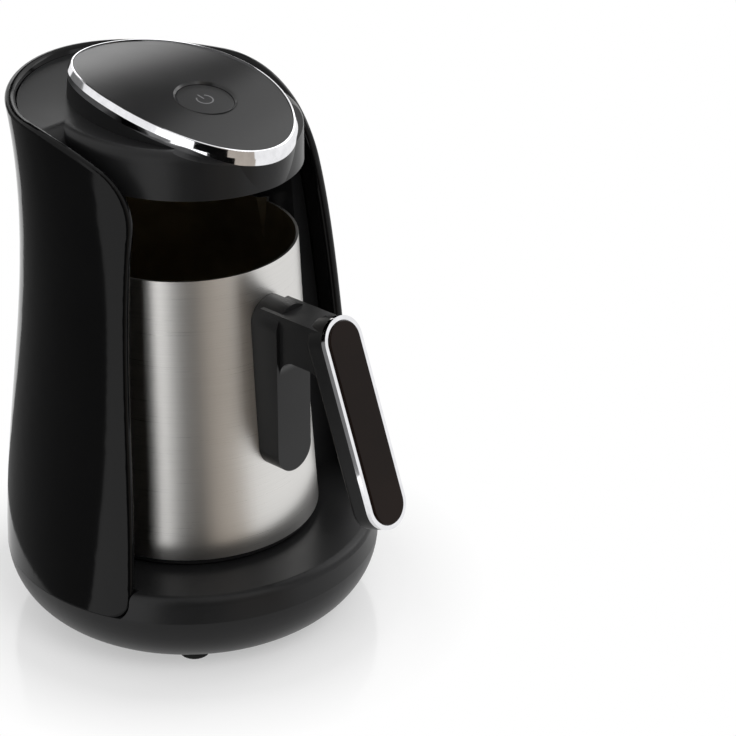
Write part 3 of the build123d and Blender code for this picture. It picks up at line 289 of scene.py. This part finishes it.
MATS = make_materials()
SLOTS = {s["node"]: s["material_slot"] for s in frame["record"]["subparts"]}
for name, obj in nodes.items():
    obj.data.materials.clear()
    obj.data.materials.append(MATS[SLOTS[name]])

# ---------------------------------------------------------------- power mark
MARK_R = 3.1 * MM
MARK_LINE = 0.55 * MM
MARK_T = 0.03 * MM         # thickness of the print
MARK_STEPS = 40
MARK_OPEN = math.radians(38)   # half of the ring's opening
BAR_TOP = 3.9 * MM
BAR_LOW = 0.5 * MM
CAP_T = 1.0 * MM           # depth of the button's cap that is looked at for its middle


def strip(bm, path, width, thick):
    """Flat strip along a path in the XY plane, its top at thick."""
    rows = []
    for i, point in enumerate(path):
        before, after = path[max(i - 1, 0)], path[min(i + 1, len(path) - 1)]
        along = (after - before).normalized()
        across = Vector((-along.y, along.x, 0)) * width / 2
        rows.append([bm.verts.new(point + across * s + Vector((0, 0, h)))
                     for s, h in ((1, 0), (1, thick), (-1, thick), (-1, 0))])
    for a, b in zip(rows, rows[1:]):
        for i in range(4):
            bm.faces.new((a[i], a[(i + 1) % 4], b[(i + 1) % 4], b[i]))
    bm.faces.new(rows[0][::-1])
    bm.faces.new(rows[-1])


def button_frame():
    """Middle of the button's top and its outward direction."""
    press = next(j for j in frame["joints"] if j["name"] == "button_press")
    axis = -Vector(press["axis"]).normalized()
    points = [v.co for v in nodes["power_button"].data.vertices]
    reach = max(p.dot(axis) for p in points)
    cap = [p for p in points if p.dot(axis) > reach - CAP_T]
    middle = Vector([(min(p[i] for p in cap) + max(p[i] for p in cap)) / 2 for i in range(3)])
    return middle + axis * (reach - middle.dot(axis)), axis


def make_power_mark():
    """Open ring with a short bar, printed on the button."""
    bm = bmesh.new()
    ring = []
    for i in range(MARK_STEPS + 1):
        a = math.pi / 2 + MARK_OPEN + (2 * math.pi - 2 * MARK_OPEN) * i / MARK_STEPS
        ring.append(Vector((MARK_R * math.cos(a), MARK_R * math.sin(a), 0)))
    strip(bm, ring, MARK_LINE, MARK_T)
    strip(bm, [Vector((0, BAR_LOW, 0)), Vector((0, BAR_TOP, 0))], MARK_LINE, MARK_T)
    bmesh.ops.recalc_face_normals(bm, faces=bm.faces)
    mesh = bpy.data.meshes.new("power_mark")
    bm.to_mesh(mesh)
    bm.free()
    middle, axis = button_frame()
    up = (Vector((0, 1, 0)) - axis * axis.y).normalized()
    right = up.cross(axis)
    mesh.transform(placed(right, up, axis, middle))
    mesh.materials.append(MATS["mark_grey"])
    mark = bpy.data.objects.new("power_mark", mesh)
    scene.collection.objects.link(mark)
    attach(mark, "button")


make_power_mark()

# ---------------------------------------------------------------- stage and light


def seen_directly(tree):
    """1 where the ray comes from the camera, a gloss or a clear surface."""
    path = tree.nodes.new("ShaderNodeLightPath")
    total = path.outputs["Is Camera Ray"]
    for kind in ("Is Glossy Ray", "Is Transmission Ray"):
        total = math_node(tree, "MAXIMUM", total, path.outputs[kind])
    return total


WORLD_LEVEL = 0.75         # the world as a light on matt surfaces


def make_world():
    world = bpy.data.worlds.new("world")
    world.use_nodes = True
    scene.world = world
    tree = world.node_tree
    background = next(n for n in tree.nodes if n.type == "BACKGROUND")
    background.inputs["Color"].default_value = (1, 1, 1, 1)
    level = remap(tree, seen_directly(tree), WORLD_LEVEL, 1.0, 0.0, 1.0)
    tree.links.new(level, background.inputs["Strength"])


FLOOR_FADE_IN = 0.085      # the shadow thins out from here
FLOOR_FADE_OUT = 0.12      # and the floor is pure white from here
FLOOR_WHITE = 0.42         # share of pure white under the shadow
FLOOR_HALF = 6.0           # half of the floor's side, in metres


def make_floor():
    """White floor that keeps the shadow near the object and is pure white further out."""
    mesh = bpy.data.meshes.new("floor")
    s = FLOOR_HALF
    mesh.from_pydata([(-s, -s, 0), (s, -s, 0), (s, s, 0), (-s, s, 0)], [], [(0, 1, 2, 3)])
    floor = bpy.data.objects.new("floor", mesh)
    scene.collection.objects.link(floor)
    mat, tree, shader = new_material("floor")
    shader.inputs["Base Color"].default_value = (0.95, 0.95, 0.95, 1)
    shader.inputs["Roughness"].default_value = 0.12
    glow = tree.nodes.new("ShaderNodeEmission")
    glow.inputs["Color"].default_value = (1, 1, 1, 1)
    mix = tree.nodes.new("ShaderNodeMixShader")
    length = tree.nodes.new("ShaderNodeVectorMath")
    length.operation = "LENGTH"
    tree.links.new(object_coords(tree, move=(0, -AXIS_Y, 0)), length.inputs[0])
    far = remap(tree, length.outputs["Value"], FLOOR_WHITE, 1.0, FLOOR_FADE_IN, FLOOR_FADE_OUT)
    tree.links.new(math_node(tree, "MULTIPLY", far, seen_directly(tree)), mix.inputs["Fac"])
    tree.links.new(shader.outputs["BSDF"], mix.inputs[1])
    tree.links.new(glow.outputs["Emission"], mix.inputs[2])
    out = next(n for n in tree.nodes if n.type == "OUTPUT_MATERIAL")
    tree.links.new(mix.outputs["Shader"], out.inputs["Surface"])
    mesh.materials.append(mat)


def area_light(name, place, aim, size, power):
    """Square lamp of size metres and power watts."""
    data = bpy.data.lights.new(name, "AREA")
    data.energy = power
    data.size = size
    lamp = bpy.data.objects.new(name, data)
    scene.collection.objects.link(lamp)
    lamp.location = place
    direction = Vector(aim) - Vector(place)
    lamp.rotation_euler = direction.to_track_quat("-Z", "Y").to_euler()


PHOTO_SIDE = math.atan2(-math.cos(CAM_AZ), math.sin(CAM_AZ))   # the photograph's side, from above
CARD_STEPS = 16


def card_material(name, colour, strength):
    mat = bpy.data.materials.new(name)
    mat.use_nodes = True
    tree = mat.node_tree
    tree.nodes.clear()
    glow = tree.nodes.new("ShaderNodeEmission")
    glow.inputs["Color"].default_value = (*colour, 1)
    glow.inputs["Strength"].default_value = strength
    out = tree.nodes.new("ShaderNodeOutputMaterial")
    tree.links.new(glow.outputs["Emission"], out.inputs["Surface"])
    return mat


def card(name, start, end, profile, colour, strength=1.0):
    """Studio card round the object that only gloss sees.

    Its (radius, height) profile is turned about the base axis from start to end, in degrees
    from the photograph's side."""
    mesh = bpy.data.meshes.new(name)
    rows = len(profile)
    points = []
    for i in range(CARD_STEPS + 1):
        a = PHOTO_SIDE + math.radians(start + (end - start) * i / CARD_STEPS)
        points += [(r * math.cos(a), AXIS_Y + r * math.sin(a), z) for r, z in profile]
    faces = [(rows * i + j, rows * (i + 1) + j, rows * (i + 1) + j + 1, rows * i + j + 1)
             for i in range(CARD_STEPS) for j in range(rows - 1)]
    mesh.from_pydata(points, [], faces)
    mesh.materials.append(card_material(name, colour, strength))
    obj = bpy.data.objects.new(name, mesh)
    scene.collection.objects.link(obj)
    obj.visible_camera = False
    obj.visible_diffuse = False
    obj.visible_shadow = False


CARD_IN = 0.122            # just past the floor's fade
CARD_OUT = 0.32            # beyond the handle at the end of the jug's slide
CARD_LIFT = 0.0006
BACK_R = 0.6               # cards behind the machine, which the head's plate shows
WHITE = (1, 1, 1)


def standing(height):
    """Lies on the floor, then stands up to height."""
    return (CARD_IN, CARD_LIFT), (CARD_OUT, CARD_LIFT), (CARD_OUT, height)


def hanging(low, high):
    return (BACK_R, low), (BACK_R, high)


def make_cards():
    """The wing's light band, the jug's bands and the plate's shading are these cards in the gloss."""
    # the chrome ring's bevel looks over this one
    card("card_left", -135, -45, standing(0.26), (0.19, 0.19, 0.19))
    card("card_dark", -13, 18, standing(1.3), (0.003, 0.003, 0.003))
    card("card_warm", 18, 48, standing(1.3), (0.46, 0.41, 0.36))
    card("card_strip", -45, -13, standing(0.6), WHITE, 1.6)
    card("card_plate", 172, 225, hanging(0.49, 0.95), (0.01, 0.01, 0.01))
    card("card_deck", 170, 205, hanging(0.36, 0.485), WHITE, 2.2)
    card("card_back", 124, 160, hanging(0.25, 0.9), WHITE, 1.8)


make_world()
make_floor()
make_cards()
area_light("key", (-0.3, -1.2, 1.6), (0, 0, 0.1), 0.9, 8)
area_light("side", (1.4, -0.4, 0.9), (0, 0, 0.12), 0.8, 5)
scene.view_settings.view_transform = "Standard"

bpy.context.view_layer.update()
